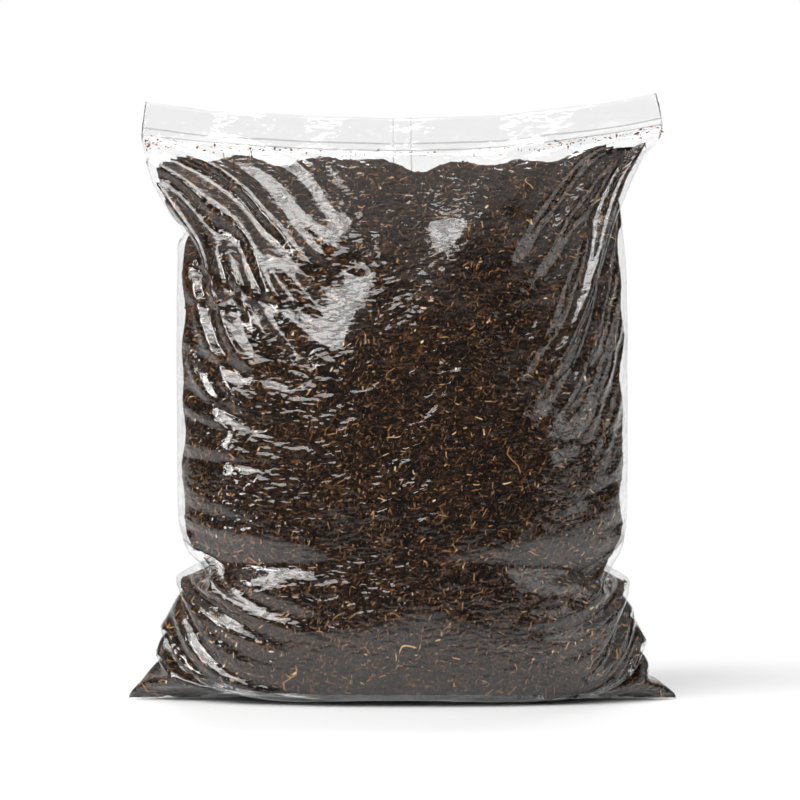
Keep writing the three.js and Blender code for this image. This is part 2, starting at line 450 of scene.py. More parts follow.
# shallow dents where creases will start: fans from the notches, the ears and the header's corners
def creaseSeeds(rng, flatX, flatY):
    dents = np.zeros(flatX.shape)
    lowFrom, lowTo, highFrom, highTo = notchStops()
    fans = (((lowFrom + lowTo) / 2, creases["notch"]), ((highFrom + highTo) / 2, creases["notch"]),
            (creases["seamStart"], creases["ear"]),
            (film["seamToWeld"] - creases["seamStart"], creases["corner"]))
    for x, inward in foldSides():
        for y, fan in fans:
            start = (x + creases["start"] * inward, y)
            for i in range(fan["count"]):
                tilt = math.radians(fan["tilt"] + fan["step"] * i + rng.normal(0, creases["tiltSpread"]))
                angle = tilt if inward > 0 else math.pi - tilt
                dents += dent(flatX, flatY, start, angle, rng.uniform(*fan["length"]),
                              rng.uniform(*creases["width"]), rng.uniform(*fan["depth"]))
    return dents


# small creases in from the folds, nearly level
def sideRipples(rng, flatX, flatY):
    ripples = np.zeros(flatX.shape)
    lowFrom, lowTo, highFrom, highTo = notchStops()
    for x, inward in foldSides():
        left, right = film["rippleDepths"]
        depths = right if x == film["tubeWidth"] else left
        y = lowTo - film["rippleOverlap"]
        while y < highFrom:
            tilt = rng.normal(*film["rippleTilt"])
            angle = tilt if inward > 0 else math.pi - tilt
            start = (x + film["rippleStart"] * inward, y)
            ripples += dent(flatX, flatY, start, angle, rng.uniform(*film["rippleLength"]),
                            rng.uniform(*film["rippleWidth"]), rng.uniform(*depths))
            y += rng.uniform(*film["rippleSpacing"])
    return ripples


# moves both ends of each edge so that it keeps its flat length
def keepLength(a, b, length, stiffness=1.0):
    gap = b - a
    now = np.sqrt(np.einsum("...k,...k", gap, gap))
    gap *= (0.5 * stiffness * (1 - length / np.maximum(now, 1e-6)))[..., None]
    a += gap
    b -= gap


def keepAround(points, length):
    even = points[:, 0::2].copy()
    odd = points[:, 1::2].copy()
    keepLength(even, odd, length)
    even = np.roll(even, -1, axis=1)
    keepLength(odd, even, length)
    points[:, 0::2] = np.roll(even, 1, axis=1)
    points[:, 1::2] = odd


def keepUp(points, length, shift=0, stiffness=1.0):
    for first in (0, 1):
        count = (len(points) - first) // 2 * 2
        low = points[first:first + count:2]
        high = np.roll(points[first + 1:first + count:2], -shift, axis=1)
        rest = length[first:first + count:2] if np.ndim(length) else length
        keepLength(low, high, rest, stiffness)
        points[first + 1:first + count:2] = np.roll(high, shift, axis=1)


# how far each point lies from the middle of its neighbours
def unevenness(points):
    gap = np.roll(points, -1, axis=1) + np.roll(points, 1, axis=1) - 2 * points
    gap[1:-1] += points[2:] + points[:-2] - 2 * points[1:-1]
    return gap


def outward(points):
    up = np.empty_like(points)
    up[1:-1] = points[2:] - points[:-2]
    up[0] = points[1] - points[0]
    up[-1] = points[-1] - points[-2]
    normal = np.cross(np.roll(points, -1, axis=1) - np.roll(points, 1, axis=1), up)
    return normal / np.maximum(np.linalg.norm(normal, axis=-1, keepdims=True), 1e-9)


# each point's partner on the other ply
def otherPly(points):
    return np.roll(points[:, ::-1], 1, axis=1)


def holdPliesApart(points, half):
    back = otherPly(points)
    spare = np.maximum(film["plyGap"] - (back[:, 1:half, 1] - points[:, 1:half, 1]), 0) / 2
    points[:, 1:half, 1] -= spare
    points[:, :half:-1, 1] += spare


# the step from each point to the heap's surface, level by level
def stepToHeap(points, lumps):
    level = np.clip(points[..., 2], 0, heapForm["sealLevel"] - 0.5)
    wide = notchedWidth(level, points[..., 0])
    deep = np.maximum(notchedDepth(level, points[..., 0]) + lumps, 1.0)
    power = 1 / noseAt(level)
    x = np.abs(points[..., 0]) / wide
    y = np.maximum(np.abs(points[..., 1]) / deep, 1e-3)
    miss = x ** heapForm["squareness"] + y ** power - 1
    slopeX = heapForm["squareness"] * x ** (heapForm["squareness"] - 1) / wide * np.sign(points[..., 0])
    slopeY = power * y ** (power - 1) / deep * np.sign(points[..., 1])
    miss /= -(slopeX ** 2 + slopeY ** 2 + 1e-9)
    step = np.stack([miss * slopeX, miss * slopeY, np.zeros_like(miss)], -1)
    far = np.linalg.norm(step, axis=-1, keepdims=True)
    return step * np.minimum(1, film["reach"] / np.maximum(far, 1e-9))


def halveGrid(points, rows, rowStep):
    wide = np.empty((len(points), 2 * points.shape[1], 3))
    wide[:, 0::2] = points
    wide[:, 1::2] = (points + np.roll(points, -1, axis=1)) / 2
    tall = np.empty((2 * len(wide) - 1, wide.shape[1], 3))
    tall[0::2] = wide
    tall[1::2] = (wide[1:] + wide[:-1]) / 2
    while len(tall) < rows:
        tall = np.concatenate([tall, tall[-1:] + (0, 0, rowStep)])
    return tall[:rows].copy()


def settleFilm():
    rng = np.random.default_rng(film["seed"])
    lumpAt = makeLumps(rng, heapForm["lumpSize"], heapForm["lumpCount"])
    points = None
    for stage, (nUp, nAround) in enumerate(film["points"]):
        rowStep = film["seamToWeld"] / nUp
        rows = nUp + 1 + round(film["headerHeight"] / rowStep)
        share = np.arange(rows) / nUp
        drawnFrom = film["drawnShare"]
        drawn = smooth((share - drawnFrom) / (1 - drawnFrom))
        width = film["tubeWidth"] + (film["topWidth"] - film["tubeWidth"]) * drawn
        width -= film["headerTaper"] * np.maximum(share - 1, 0) / (rows / nUp - 1)
        columnStep = (2 * width / nAround)[:, None]
        diagonal = np.hypot(rowStep, columnStep)
        home = wrapTube(nUp, nAround, rows, rowStep)
        flatX, flatY = np.meshgrid(np.arange(nAround) * columnStep[0], np.arange(rows) * rowStep)
        if points is None:
            points = home + rng.normal(0, film["unevenStart"][stage], home.shape)
            points += creaseSeeds(rng, flatX, flatY)[..., None] * outward(points)
        else:
            points = halveGrid(points, rows, rowStep)
            points += rng.normal(0, film["unevenStart"][stage], points.shape)
        welded = [0] + list(range(nUp, rows))
        loose = (1 - film["freedom"] * smooth(1 - share / film["freeShare"]))[:, None, None]
        speed = np.zeros_like(points)
        for step in range(film["steps"][stage]):
            push = film["hold"][stage] * loose * stepToHeap(points, heapForm["lumpHeight"] * lumpAt(points))
            push += film["press"][stage] * outward(points)
            push[1:nUp, :, 2] += film["grip"][stage] * (home[1:nUp, :, 2] - points[1:nUp, :, 2])
            push[welded] = 0
            speed = film["damping"] * (speed + push)
            before = points.copy()
            points += speed
            for solve in range(film["solves"]):
                keepUp(points, rowStep)
                keepAround(points, columnStep)
                keepUp(points, diagonal, 1, 0.5)
                keepUp(points, diagonal, -1, 0.5)
                points -= film["bend"][stage] * unevenness(unevenness(points)) / 4
                points[welded] = (points[welded] + otherPly(points[welded])) / 2
                points[0] = home[0]
                points[nUp] += film["weldHold"] * (home[nUp] - points[nUp]) * film["weldGive"]
                np.maximum(points[..., 2], film["plyGap"], out=points[..., 2])
            holdPliesApart(points, nAround // 2)
            speed = points - before
        moving = round(float(np.abs(speed).max()), 3)
        print("film: stage", stage + 1, points.shape[:2], "still moving", moving, "mm")
    points += sideRipples(rng, flatX, flatY)[..., None] * outward(points)
    # the full bag stands on its two ends, and its base is arched between them
    arch = np.clip(1 - (2 * points[..., 0] / heapForm["archLength"]) ** 2, 0, 1)
    points[..., 2] += heapForm["archRise"] * arch * smooth(1 - points[..., 2] / heapForm["archLevel"])
    return points, nUp


filmPoints, weldRow = settleFilm()


# a grid's faces, row by row; a tube's last column joins its first
def gridFaces(rows, columns, closed=True):
    faces = []
    for low in range(0, (rows - 1) * columns, columns):
        for j in range(columns if closed else columns - 1):
            beside = (j + 1) % columns
            faces.append((low + j, low + beside, low + columns + beside, low + columns + j))
    return faces


def addPiece(name, vertices, faces, material):
    mesh = bpy.data.meshes.new(name)
    mesh.from_pydata(vertices, [], faces)
    mesh.polygons.foreach_set("use_smooth", [True] * len(mesh.polygons))
    mesh.materials.append(material)
    piece = bpy.data.objects.new(name, mesh)
    scene.collection.objects.link(piece)
    return piece


filmLook = {
    "mirrorStraight": 0.041,     # one face of polyethylene, seen square on
    "roughness": 0.07,
    "haze": 0.002,
    "crumpleSize": 15.0,         # facets of crushed film, and how they are turned and stretched
    "crumpleTurn": -0.35,
    "crumpleStretch": (0.75, 1.25, 1.0),
    "grainSize": 2.6,            # compost pressed against it
    "grainTurn": -0.7,
    "grainStretch": (0.5, 1.2, 1.0),
    "grainShare": 0.16,
    "reliefDepth": 3.0,
    "weldLines": (432.0, 436.5),
    "weldWidth": 1.1,
    "weldHaze": 0.10,
    "weldTint": "#e4e4e4",
    "milk": "#f4f4f4",
    "shadowTint": "#f8f8f8",
    "lapWidth": 12.0,            # up the middle of the back
}


# how much of the light one face turns back: a little straight on, nearly all of it at a slant
def faceMirror(tree, links):
    slant = addNode(tree, "ShaderNodeLayerWeight", {"Blend": 0.5}, links)
    steep = addNode(tree, "ShaderNodeMath", {"operation": "POWER", 1: 5.0}, {0: slant.outputs["Facing"]})
    straight = filmLook["mirrorStraight"]
    return addNode(tree, "ShaderNodeMath", {"operation": "MULTIPLY_ADD", 1: 1 - straight, 2: straight},
                   {0: steep.outputs[0]}).outputs[0]


# clear blown polyethylene: glossy, almost no colour of its own, with crushed facets that break up the
# lights, and a little milky along its welds
def polyethyleneFilm():
    material, tree = newMaterial("polyethyleneFilm")
    flat = addNode(tree, "ShaderNodeUVMap", {"uv_map": "flat"})
    # crushed film: creases along the level lines of a noise, and the compost's grain pressed through
    crushed = addNode(tree, "ShaderNodeMapping",
                      {"Rotation": (0, 0, filmLook["crumpleTurn"]), "Scale": filmLook["crumpleStretch"]},
                      {"Vector": flat.outputs["UV"]})
    swell = addNode(tree, "ShaderNodeTexNoise",
                    {"noise_dimensions": "2D", "Scale": 1 / (filmLook["crumpleSize"] * mm), "Detail": 1.5},
                    {"Vector": crushed.outputs[0]})
    fromLevel = addNode(tree, "ShaderNodeMath", {"operation": "SUBTRACT", 1: 0.5},
                        {0: swell.outputs["Fac"]})
    crumple = addNode(tree, "ShaderNodeMath", {"operation": "ABSOLUTE"}, {0: fromLevel.outputs[0]})
    leaned = addNode(tree, "ShaderNodeMapping",
                     {"Rotation": (0, 0, filmLook["grainTurn"]), "Scale": filmLook["grainStretch"]},
                     {"Vector": flat.outputs["UV"]})
    grain = addNode(tree, "ShaderNodeTexNoise",
                    {"noise_dimensions": "2D", "Scale": 1 / (filmLook["grainSize"] * mm), "Detail": 0.0},
                    {"Vector": leaned.outputs[0]})
    relief = addNode(tree, "ShaderNodeMath", {"operation": "MULTIPLY_ADD", 1: filmLook["grainShare"]},
                     {0: grain.outputs["Fac"], 2: crumple.outputs[0]})
    bump = addNode(tree, "ShaderNodeBump", {"Strength": 1.0, "Distance": filmLook["reliefDepth"] * mm},
                   {"Height": relief.outputs[0]})
    # milkiness: all over a little, more on the welds and along the lap's edges, which also look grey
    place = addNode(tree, "ShaderNodeSeparateXYZ", {}, {0: flat.outputs["UV"]})
    lapMiddle = 1.5 * film["tubeWidth"]
    lines = [(place.outputs["Y"], level) for level in filmLook["weldLines"]]
    lines += [(place.outputs["X"], lapMiddle + side * filmLook["lapWidth"] / 2) for side in (-1, 1)]
    halfLine = filmLook["weldWidth"] / 2 * mm
    milk = None
    for axis, level in lines:
        near = addNode(tree, "ShaderNodeMath", {"operation": "COMPARE", 1: level * mm, 2: halfLine},
                       {0: axis})
        if milk is None:
            milk = near
            continue
        milk = addNode(tree, "ShaderNodeMath", {"operation": "ADD", "use_clamp": True},
                       {0: milk.outputs[0], 1: near.outputs[0]})
    haze = addNode(tree, "ShaderNodeMath",
                   {"operation": "MULTIPLY_ADD", 1: filmLook["weldHaze"], 2: filmLook["haze"]},
                   {0: milk.outputs[0]})
    pressed = addNode(tree, "ShaderNodeMix",
                      {"data_type": "RGBA", 6: plainWhite, 7: hexColour(filmLook["weldTint"])},
                      {0: milk.outputs[0]})
    clear = addNode(tree, "ShaderNodeBsdfTransparent", {}, {"Color": pressed.outputs[2]})
    milky = addNode(tree, "ShaderNodeBsdfDiffuse", {"Color": hexColour(filmLook["milk"])})
    hazy = addNode(tree, "ShaderNodeMixShader", {},
                   {0: haze.outputs[0], 1: clear.outputs[0], 2: milky.outputs[0]})
    gloss = addNode(tree, "ShaderNodeBsdfGlossy",
                    {"Color": plainWhite, "Roughness": filmLook["roughness"]}, {"Normal": bump.outputs[0]})
    mirror = faceMirror(tree, {"Normal": bump.outputs[0]})
    seen = addNode(tree, "ShaderNodeMixShader", {}, {0: mirror, 1: hazy.outputs[0], 2: gloss.outputs[0]})
    # light that only passes through is let by without the relief, which saves time
    rays = addNode(tree, "ShaderNodeLightPath")
    passed = addNode(tree, "ShaderNodeBsdfTransparent", {"Color": hexColour(filmLook["shadowTint"])})
    mixed = addNode(tree, "ShaderNodeMixShader", {},
                    {0: rays.outputs["Is Shadow Ray"], 1: seen.outputs[0], 2: passed.outputs[0]})
    addNode(tree, "ShaderNodeOutputMaterial", {}, {"Surface": mixed.outputs[0]})
    return material


# the film's inner face: as glossy, but smooth
def polyethyleneInside():
    material, tree = newMaterial("polyethyleneInside")
    clear = addNode(tree, "ShaderNodeBsdfTransparent", {"Color": plainWhite})
    gloss = addNode(tree, "ShaderNodeBsdfGlossy", {"Color": plainWhite, "Roughness": filmLook["roughness"]})
    mixed = addNode(tree, "ShaderNodeMixShader", {},
                    {0: faceMirror(tree, {}), 1: clear.outputs[0], 2: gloss.outputs[0]})
    addNode(tree, "ShaderNodeOutputMaterial", {}, {"Surface": mixed.outputs[0]})
    return material


vent = {
    "diameter": 6.0,
    "place": (70.0, 295.0),      # across and up the back
    "search": 20.0,              # how far above and below it the nearest point is looked for
}


# a punched hole: the faces round the nearest point go, and their rim is drawn to a circle
def punchVent(piece):
    punch = bmesh.new()
    punch.from_mesh(piece.data)
    x, z = (place * mm for place in vent["place"])
    back = [v for v in punch.verts if v.co.y > 0 and abs(v.co.z - z) < vent["search"] * mm]
    middle = min(back, key=lambda v: (v.co.x - x) ** 2 + (v.co.z - z) ** 2)
    centre = middle.co.copy()
    normal = middle.normal.copy()
    rim = {v for face in middle.link_faces for v in face.verts} - {middle}
    bmesh.ops.delete(punch, geom=[middle], context="VERTS")
    for v in rim:
        away = v.co - centre
        away -= away.dot(normal) * normal
        v.co = centre + away.normalized() * vent["diameter"] / 2 * mm
    punch.to_mesh(piece.data)
    punch.free()


def makeFilm():
    rows, columns = filmPoints.shape[:2]
    vertices = (filmPoints.reshape(-1, 3) * mm).tolist()
    piece = addPiece("bag_film", vertices, gridFaces(rows, columns), polyethyleneFilm())
    # the UV map holds each point's place on the flat film, in metres
    flat = piece.data.uv_layers.new(name="flat")
    corner = np.array([(0, 0), (0, 1), (1, 1), (1, 0)])
    row, column = np.divmod(np.arange((rows - 1) * columns), columns)
    flatY = (row[:, None] + corner[:, 0]) * film["seamToWeld"] / weldRow
    flatX = (column[:, None] + corner[:, 1]) * 2 * film["tubeWidth"] / columns
    flat.data.foreach_set("uv", (np.stack([flatX, flatY], -1) * mm).ravel())
    punchVent(piece)
    piece.data.materials.append(polyethyleneInside())
    wall = piece.modifiers.new("wall", "SOLIDIFY")
    wall.thickness = film["thickness"] * mm
    wall.offset = -1
    wall.material_offset = 1
    return piece


bagFilm = makeFilm()
print("film: mesh of", len(bagFilm.data.vertices), "points before its wall")


# The compost

heap = {
    "inset": 2.2,            # below the film where they touch
    "gapShare": 0.3,         # or this share of the room between the plies, where that is less
    "floorInset": 1.0,
    "sideInset": (2.2, 1.6),   # more at the left and right folds, where the film stands off
    "sideSpan": (0.78, 0.22),  # starts and lengths across are shares of the half width
    "sideWaver": 0.8,
    "sideWaves": (11.0, 6.3),
    "smoothing": 30,         # rounds, to tell the film's ridges from its form
    "ridgeLimit": 5.0,       # how deep they are left empty
    "ridgeFade": (0.72, 0.2),
    "endLevels": (70.0, 305.0),   # the ears lie below, and the upper corners above
    "endRun": 25.0,
    "endSpan": (0.55, 0.2),
    "freeRoom": 60.0,        # counted as room elsewhere
    "cornerCut": 0.05,       # the empty corners under the header, as a share of the half width
    "cornerSpan": (0.84, 0.12),   # where they are, as a share of the way to the weld
    "topBand": 13.0,         # empty film below the weld
    "topWaver": 4.0,
    "topWaves": (13.0, 7.1, 29.0),
    "topDrop": 12.0,
    "topRun": 8.0,
    "thinnest": 0.35,
    "thinSmoothing": 20,
    "crestLevel": 300.0,     # above this the heap's thin edge shows
    "shown": (0.1, 0.7, 1.0),   # how thickly things lie out of sight, at the back and in front
    "clearance": 0.5,        # what lies on the heap stays this far inside the film
    "reach": 6.0,            # and the film is looked for this far off
    "lumpSize": (9.0, 26.0),
    "lumpHeight": 1.1,
    "lumpCount": 60,
    "lumpFade": (0.8, 0.2),
    "seed": 21,
}


# the heap follows the film a little inside it, and ends where the two plies come too close for it
def heapShape():
    rows, columns = weldRow + 1, filmPoints.shape[1]
    half = columns // 2
    column = np.arange(columns)
    across = np.abs(np.where(column <= half, 2 * column / half - 1, 1 - 2 * (column - half) / half))
    skin = filmPoints[:rows]
    relaxed = skin.copy()
    for i in range(heap["smoothing"]):
        relaxed += 0.2 * unevenness(relaxed)
    # the film's ridges stay empty, apart from the folds themselves
    ridge = np.clip(((skin - relaxed) * outward(relaxed)).sum(-1), 0, heap["ridgeLimit"])
    ridge *= 1 - ease(across, heap["ridgeFade"])
    x, z = skin[..., 0], skin[..., 2]
    longer, shorter = heap["sideWaves"]
    waver = np.sin(z / longer + 2 * np.sign(x)) + np.sin(z / shorter)
    dune, ripple, swell = heap["topWaves"]
    wave = np.sin(x / dune + 1) + np.sin(x / ripple) + np.sin(x / swell)
    share = np.arange(rows)[:, None] / weldRow
    below = (1 - share) * film["seamToWeld"] - heap["topBand"] - heap["topWaver"] * wave
    standOff = np.where(x < 0, *heap["sideInset"])
    inset = heap["inset"] + (standOff + heap["sideWaver"] * waver) * ease(across, heap["sideSpan"])
    # in the ears and the upper corners the heap runs out to where the plies meet
    low, high = heap["endLevels"]
    ends = 1 - smooth((z - low) / heap["endRun"]) * smooth((high - z) / heap["endRun"])
    room = np.abs(otherPly(skin)[..., 1] - skin[..., 1])
    room = room + heap["freeRoom"] * (1 - ends * ease(across, heap["endSpan"]))
    inset = np.minimum(inset, heap["gapShare"] * room) + heap["topDrop"] * smooth(-below / heap["topRun"])
    points = skin - (inset + ridge)[..., None] * outward(relaxed)
    lumpAt = makeLumps(np.random.default_rng(heap["seed"]), heap["lumpSize"], heap["lumpCount"])
    lumps = heap["lumpHeight"] * np.abs(lumpAt(points)) * (1 - ease(across, heap["lumpFade"]))
    points -= lumps[..., None] * outward(relaxed)
    points[..., 2] = np.maximum(points[..., 2], heap["floorInset"])
    # front and back meet where they would cross
    partner = otherPly(points)
    middle = (points + partner) / 2
    facing = np.where(column < half, -1, 1) * (points[..., 1] - middle[..., 1])
    for i in range(heap["thinSmoothing"]):
        facing = facing + 0.2 * unevenness(facing)
    corner = 1 - heap["cornerCut"] * ease(share, heap["cornerSpan"])
    met = (facing < heap["thinnest"]) | (across >= corner)
    points[met] = middle[met]
    return points, met


def makeHeap(material):
    points, met = heapShape()
    rows, columns = points.shape[:2]
    faces = [face for face in gridFaces(rows, columns) if not met.reshape(-1)[list(face)].all()]
    piece = addPiece("compost_heap", (points.reshape(-1, 3) * mm).tolist(), faces, material)
    shell = bmesh.new()
    shell.from_mesh(piece.data)
    bmesh.ops.remove_doubles(shell, verts=shell.verts, dist=0.05 * mm)
    bmesh.ops.delete(shell, geom=[v for v in shell.verts if not v.link_faces], context="VERTS")
    shell.to_mesh(piece.data)
    shell.free()
    # how thickly things lie on it: little underneath, where it can't be seen, and along its thin edges
    normals = np.array([v.normal[:] for v in piece.data.vertices])
    shown = piece.data.attributes.new("shown", "FLOAT", "POINT")
    heights = np.array([v.co.z for v in piece.data.vertices]) / mm
    underneath = normals[:, 2] < -0.85
    thinEdge = (np.abs(normals[:, 1]) < 0.1) & (heights < heap["crestLevel"])
    outOfSight, behind, inFront = heap["shown"]
    inView = np.where(normals[:, 1] > 0.3, behind, inFront)
    shown.data.foreach_set("value", np.where(underneath | thinEdge, outOfSight, inView))
    return piece


peatLook = {
    "grainSize": 2.0,
    "clodSize": 16.0,
    "warpSize": 4.0,
    "warp": 3.0,
    "lean": (0, 0.6, 0),     # the grains lie on a slant, and longer than high
    "stretch": (0.6, 0.8, 1.25),
    "depth": 1.6,
    "stops": [(0.0, "#100a06"), (0.4, "#22150c"), (0.7, "#382413"), (0.9, "#51341d"), (1.0, "#744a26")],
}


# damp peat: near-black clods with a matt, granular surface and browner fibres, and painted shade darkening
# the gaps between its grains
def dampPeat():
    material, tree = newMaterial("dampPeat")
    coords = addNode(tree, "ShaderNodeTexCoord")
    warp = addNode(tree, "ShaderNodeTexNoise", {"Scale": 1 / (peatLook["warpSize"] * mm), "Detail": 2.0},
                   {"Vector": coords.outputs["Object"]})
    shift = addNode(tree, "ShaderNodeVectorMath",
                    {"operation": "MULTIPLY_ADD", 1: (peatLook["warp"] * mm,) * 3},
                    {0: warp.outputs["Color"], 2: coords.outputs["Object"]})
    turned = addNode(tree, "ShaderNodeMapping",
                     {"Rotation": peatLook["lean"], "Scale": peatLook["stretch"]},
                     {"Vector": shift.outputs[0]})
    grain = addNode(tree, "ShaderNodeTexVoronoi", {"Scale": 1 / (peatLook["grainSize"] * mm)},
                    {"Vector": turned.outputs[0]})
    clods = addNode(tree, "ShaderNodeTexNoise", {"Scale": 1 / (peatLook["clodSize"] * mm), "Detail": 3.0},
                    {"Vector": coords.outputs["Object"]})
    pick = addNode(tree, "ShaderNodeSeparateColor", {}, {0: grain.outputs["Color"]})
    blend = addNode(tree, "ShaderNodeMath", {"operation": "MULTIPLY_ADD", 1: 0.6},
                    {0: pick.outputs[0], 2: clods.outputs["Fac"]})
    level = addNode(tree, "ShaderNodeMapRange", {"From Min": 0.35, "From Max": 1.25},
                    {"Value": blend.outputs[0]})
    colour = addNode(tree, "ShaderNodeValToRGB", {}, {"Fac": level.outputs["Result"]})
    setRamp(colour, peatLook["stops"])
    # painted shade: the colour darkens towards each grain's edge, as if shade fell in the gaps between the
    # grains
    gap = addNode(tree, "ShaderNodeMapRange",
                  {"From Min": 0.2, "From Max": 0.75, "To Min": 1.0, "To Max": 0.15},
                  {"Value": grain.outputs["Distance"]})
    shaded = addNode(tree, "ShaderNodeMix", {"data_type": "RGBA", "blend_type": "MULTIPLY", "Factor": 1.0},
                     {6: colour.outputs["Color"], 7: gap.outputs["Result"]})
    bump = addNode(tree, "ShaderNodeBump",
                   {"Strength": 0.9, "Distance": peatLook["depth"] * mm, "invert": True},
                   {"Height": grain.outputs["Distance"]})
    soil = addNode(tree, "ShaderNodeBsdfPrincipled", {"Roughness": 0.9, "Specular IOR Level": 0.08},
                   {"Base Color": shaded.outputs[2], "Normal": bump.outputs[0]})
    addNode(tree, "ShaderNodeOutputMaterial", {}, {"Surface": soil.outputs[0]})
    return material


woodLook = {
    "grainSize": 1.6,
    "grainDepth": 0.4,
    "shadeWaver": 0.16,
}


# woody bits: each has its own shade, from black humus to fresh pale fibre, with a faint lengthwise grain
def woodyBits(name, stops, roughness):
    material, tree = newMaterial(name)
    tint = addNode(tree, "ShaderNodeAttribute", {"attribute_name": "tint"})
    coords = addNode(tree, "ShaderNodeTexCoord")
    grain = addNode(tree, "ShaderNodeTexNoise", {"Scale": 1 / (woodLook["grainSize"] * mm), "Detail": 2.0},
                    {"Vector": coords.outputs["Object"]})
    spread = woodLook["shadeWaver"]
    waver = addNode(tree, "ShaderNodeMath", {"operation": "MULTIPLY_ADD", 1: spread, 2: -spread / 2},
                    {0: grain.outputs["Fac"]})
    level = addNode(tree, "ShaderNodeMath", {"operation": "ADD", "use_clamp": True},
                    {0: tint.outputs["Fac"], 1: waver.outputs[0]})
    colour = addNode(tree, "ShaderNodeValToRGB", {}, {"Fac": level.outputs[0]})
    setRamp(colour, stops)
    bump = addNode(tree, "ShaderNodeBump", {"Strength": 0.4, "Distance": woodLook["grainDepth"] * mm},
                   {"Height": grain.outputs["Fac"]})
    wood = addNode(tree, "ShaderNodeBsdfPrincipled", {"Roughness": roughness, "Specular IOR Level": 0.12},
                   {"Base Color": colour.outputs["Color"], "Normal": bump.outputs[0]})
    addNode(tree, "ShaderNodeOutputMaterial", {}, {"Surface": wood.outputs[0]})
    return material


# a crumb: a rough lump, longer than wide, with blunt points
def crumbShape(rng):
    lump = bmesh.new()
    ends = []
    for side in (-1, 1):
        tip = (side * rng.uniform(0.4, 0.55), rng.uniform(-0.15, 0.15), rng.uniform(-0.08, 0.08))
        ends.append(lump.verts.new(tip))
    waist = []
    for i in range(4):
        angle = math.pi / 2 * (i + rng.uniform(-0.25, 0.25))
        reach = rng.uniform(0.16, 0.3)
        point = (rng.uniform(-0.2, 0.2), reach * math.cos(angle), 0.75 * reach * math.sin(angle))
        waist.append(lump.verts.new(point))
    for i in range(4):
        lump.faces.new((ends[1], waist[i], waist[(i + 1) % 4]))
        lump.faces.new((ends[0], waist[(i + 1) % 4], waist[i]))
    return lump


# a chip of bark: a crooked sliver, thin and torn at the ends
def chipShape(rng):
    sliver = bmesh.new()
    bmesh.ops.create_cube(sliver, size=1.0)
    for v in sliver.verts:
        v.co.x *= rng.uniform(0.75, 1.1)
        v.co.y *= rng.uniform(0.2, 0.42)
        v.co.z *= rng.uniform(0.1, 0.24)
        v.co.y += 0.3 * v.co.x * v.co.x
    return sliver


# a strand: three-sided, bent and wavering, pointed at both ends
def strandShape(rng, reach, stops):
    strand = bmesh.new()
    bend = rng.uniform(-0.8, 0.8)
    waver = rng.uniform(-0.16, 0.16)

    def middle(t):
        aside = bend * t * t + waver * math.sin(6 * t)
        return Vector((t * (1 - 0.3 * abs(bend)), aside, 0.03 - 0.15 * t * t))

    around = [Vector((0, reach * math.cos(a), reach * math.sin(a))) for a in (0.5, 2.6, 4.7)]
    rings = [[strand.verts.new(middle(t) + spoke) for spoke in around] for t in stops]
    tips = [strand.verts.new(middle(t)) for t in (-0.5, 0.5)]
    for k in range(3):
        strand.faces.new((tips[0], rings[0][k], rings[0][k - 2]))
        strand.faces.new((tips[1], rings[-1][k - 2], rings[-1][k]))
        for low, high in zip(rings, rings[1:]):
            strand.faces.new((low[k], high[k], high[k - 2], low[k - 2]))
    bmesh.ops.recalc_face_normals(strand, faces=strand.faces)
    return strand


def fibreShape(rng):
    return strandShape(rng, 0.065, (-0.22, 0.22))


def strawShape(rng):
    return strandShape(rng, 0.028, (-0.4, -0.2, 0.0, 0.2, 0.4))


def shapeSet(name, makeShape, count, seed, material):
    rng = np.random.default_rng(seed)
    group = bpy.data.collections.new(name)
    for i in range(count):
        shape = makeShape(rng)
        mesh = bpy.data.meshes.new(name + str(i))
        shape.to_mesh(mesh)
        shape.free()
        mesh.materials.append(material)
        group.objects.link(bpy.data.objects.new(name + str(i), mesh))
    return group


